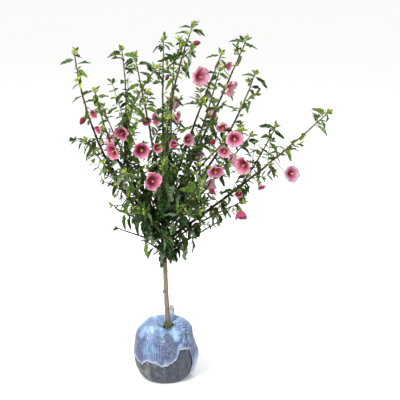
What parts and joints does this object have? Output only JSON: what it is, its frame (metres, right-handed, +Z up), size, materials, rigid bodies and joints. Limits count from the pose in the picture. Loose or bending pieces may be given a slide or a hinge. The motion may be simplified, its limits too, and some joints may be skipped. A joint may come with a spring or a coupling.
{
  "type": "hibiscus shrub",
  "caption": "Young flowering shrub grown as a standard: a bare stem with an open V-shaped crown of leafy canes and pink blooms, on a bagged root ball with a film wrap.",
  "frame": {"origin": "middle of the flat underside of the root ball", "axes": "+Z up along the stem; the front, as pictured, faces -Y; +X is to the right of the front view"},
  "size_m": [0.5531, 0.4072, 0.7749],
  "materials": {
    "bag": "dark grey nursery bag, filled, softly dented",
    "film": "crinkled bluish-white film with bright creases",
    "bark": "tan bark with fine lengthwise ridges and old leaf scars",
    "bough_bark": "smooth brown young bark, purple-brown towards the tips",
    "foliage": "soft green lobed leaves, with pale pink blooms among them"
  },
  "bodies": {
    "root": {"root_ball": "bag", "film_wrap": "film", "stem": "bark", "bough_back_left": "bough_bark", "bough_back_low": "bough_bark", "bough_back_middle": "bough_bark", "bough_back_right": "bough_bark", "bough_back_right_tall": "bough_bark", "bough_front_left": "bough_bark", "bough_front_middle": "bough_bark", "bough_front_right": "bough_bark", "bough_left_back_tall": "bough_bark", "bough_left_front": "bough_bark", "bough_left_inner": "bough_bark", "bough_left_low": "bough_bark", "bough_left_outer": "bough_bark", "bough_middle_tall": "bough_bark", "bough_middle_top": "bough_bark", "bough_right_front": "bough_bark", "bough_right_lean": "bough_bark", "bough_right_low": "bough_bark", "bough_right_middle": "bough_bark", "bough_right_outer": "bough_bark", "bough_right_tall": "bough_bark", "foliage_back_left": "foliage", "foliage_back_low": "foliage", "foliage_back_middle": "foliage", "foliage_back_right": "foliage", "foliage_back_right_tall": "foliage", "foliage_front_left": "foliage", "foliage_front_middle": "foliage", "foliage_front_right": "foliage", "foliage_heart_back": "foliage", "foliage_heart_back_left": "foliage", "foliage_heart_front": "foliage", "foliage_heart_front_left": "foliage", "foliage_heart_left": "foliage", "foliage_heart_left_high": "foliage", "foliage_heart_right": "foliage", "foliage_heart_right_high": "foliage", "foliage_left_back_tall": "foliage", "foliage_left_front": "foliage", "foliage_left_inner": "foliage", "foliage_left_low": "foliage", "foliage_left_outer": "foliage", "foliage_middle_tall": "foliage", "foliage_middle_top": "foliage", "foliage_right_front": "foliage", "foliage_right_lean": "foliage", "foliage_right_low": "foliage", "foliage_right_middle": "foliage", "foliage_right_outer": "foliage", "foliage_right_tall": "foliage", "foliage_skirt_back_left": "foliage", "foliage_skirt_back_right": "foliage", "foliage_skirt_front_left": "foliage", "foliage_skirt_front_right": "foliage", "foliage_skirt_left": "foliage", "foliage_skirt_right": "foliage"}
  },
  "joints": []
}
